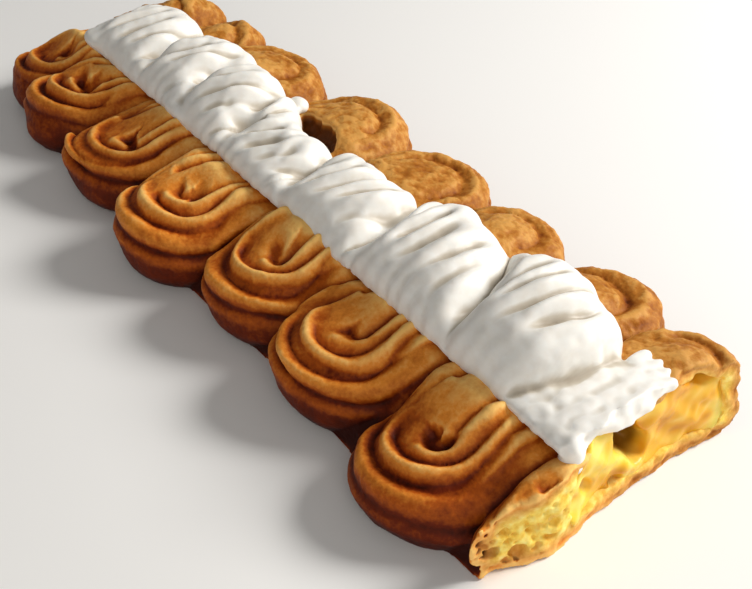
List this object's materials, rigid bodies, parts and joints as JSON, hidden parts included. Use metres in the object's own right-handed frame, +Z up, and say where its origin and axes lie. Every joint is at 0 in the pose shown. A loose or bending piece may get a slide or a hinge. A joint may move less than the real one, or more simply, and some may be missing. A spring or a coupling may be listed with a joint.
{
  "type": "choux pastry bar",
  "caption": "Long choux pastry bar: two rows of piped shells baked together, custard inside and a piped band of whipped cream on top, cut across at one end.",
  "frame": {"origin": "centre of the underside's box, on the surface that the bar lies on", "axes": "+X along the bar to the cut end, +Y to the row that the custard fills, +Z up"},
  "size_m": [0.294, 0.1086, 0.0485],
  "materials": {
    "pastry": "golden to deep brown baked choux crust, satin on the ridges, yellow crumb where it is cut",
    "custard": "moist set custard",
    "whipped_cream": "soft satin white"
  },
  "bodies": {
    "root": {"pastry": "pastry", "custard": "custard", "whipped_cream": "whipped_cream"}
  },
  "joints": []
}
